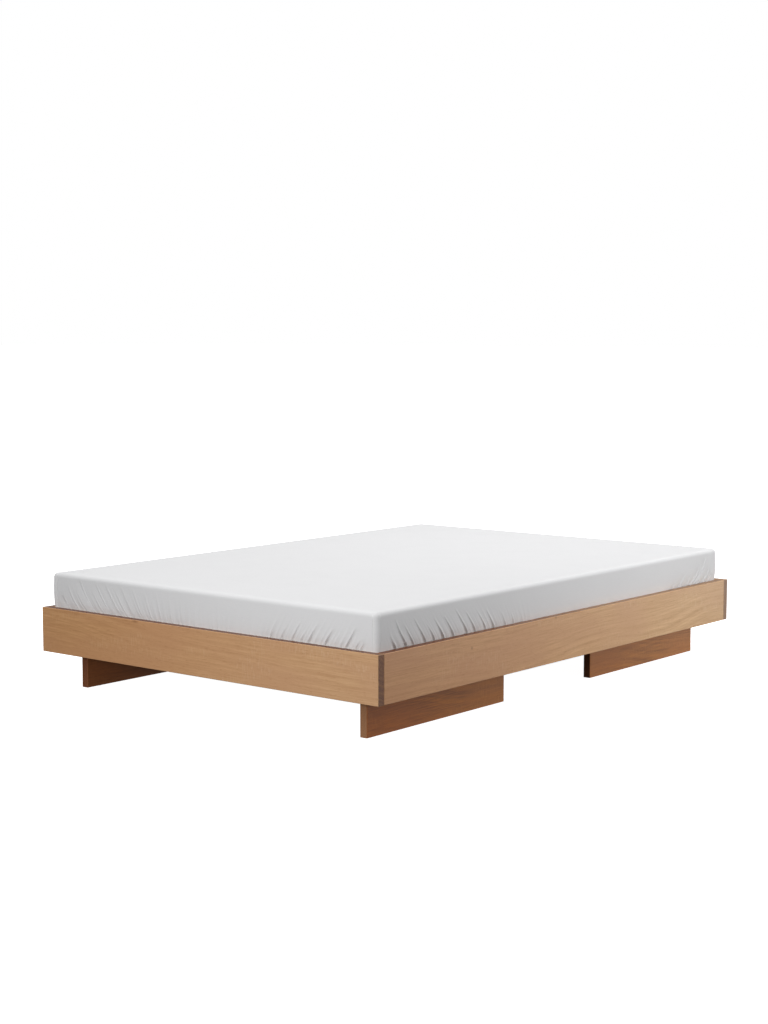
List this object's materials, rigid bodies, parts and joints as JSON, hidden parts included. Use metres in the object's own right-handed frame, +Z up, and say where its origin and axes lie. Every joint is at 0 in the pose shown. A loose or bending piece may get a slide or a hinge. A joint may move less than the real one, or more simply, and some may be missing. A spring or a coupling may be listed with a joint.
{
  "type": "bed frame",
  "caption": "Low wooden platform bed frame of plain boards on set-in board legs, with a slatted base and a lift-off mattress in a fitted sheet.",
  "frame": {"origin": "on the floor under the middle of the bed, the bottom centre of the bounding box", "axes": "+Z up, +Y towards the head end, +X towards the right side as seen from the foot end"},
  "size_m": [1.454, 2.054, 0.388],
  "materials": {
    "frame_wood": "satin",
    "leg_wood": "satin",
    "inner_wood": "matte",
    "slat_wood": "matte",
    "steel_fittings": "satin",
    "glide_plastic": "matte",
    "slat_tape": "matte",
    "mattress_ticking": "matte",
    "sheet_cotton": "matte"
  },
  "bodies": {
    "bed_frame": {"head_end_board": "frame_wood", "foot_end_board": "frame_wood", "right_side_board": "frame_wood", "left_side_board": "frame_wood", "leg_panel_head_right": "leg_wood", "leg_panel_head_left": "leg_wood", "leg_panel_foot_right": "leg_wood", "leg_panel_foot_left": "leg_wood", "floor_glide_head_right_inner": "glide_plastic", "floor_glide_head_right_outer": "glide_plastic", "floor_glide_head_left_inner": "glide_plastic", "floor_glide_head_left_outer": "glide_plastic", "floor_glide_foot_right_inner": "glide_plastic", "floor_glide_foot_right_outer": "glide_plastic", "floor_glide_foot_left_inner": "glide_plastic", "floor_glide_foot_left_outer": "glide_plastic", "ledger_strip_right": "inner_wood", "ledger_strip_left": "inner_wood", "centre_beam": "inner_wood", "cross_bearer_head_inner": "inner_wood", "cross_bearer_head_outer": "inner_wood", "cross_bearer_foot_inner": "inner_wood", "cross_bearer_foot_outer": "inner_wood", "beam_hanger_head": "steel_fittings", "beam_hanger_foot": "steel_fittings", "corner_bracket_head_right": "steel_fittings", "corner_bracket_head_left": "steel_fittings", "corner_bracket_foot_right": "steel_fittings", "corner_bracket_foot_left": "steel_fittings", "bolt_head_right_side": "steel_fittings", "bolt_head_right_end": "steel_fittings", "bolt_head_left_side": "steel_fittings", "bolt_head_left_end": "steel_fittings", "bolt_foot_right_side": "steel_fittings", "bolt_foot_right_end": "steel_fittings", "bolt_foot_left_side": "steel_fittings", "bolt_foot_left_end": "steel_fittings", "slat_01": "slat_wood", "slat_02": "slat_wood", "slat_03": "slat_wood", "slat_04": "slat_wood", "slat_05": "slat_wood", "slat_06": "slat_wood", "slat_07": "slat_wood", "slat_08": "slat_wood", "slat_09": "slat_wood", "slat_10": "slat_wood", "slat_11": "slat_wood", "slat_12": "slat_wood", "slat_13": "slat_wood", "slat_14": "slat_wood", "slat_15": "slat_wood", "slat_16": "slat_wood", "slat_tape_right": "slat_tape", "slat_tape_left": "slat_tape"},
    "mattress": {"mattress_core": "mattress_ticking", "fitted_sheet": "sheet_cotton"}
  },
  "joints": [
    {"name": "mattress_lift", "type": "slide", "parent": "bed_frame", "child": "mattress", "axis": [0, 0, 1], "range_m": [0, 0.4]}
  ]
}
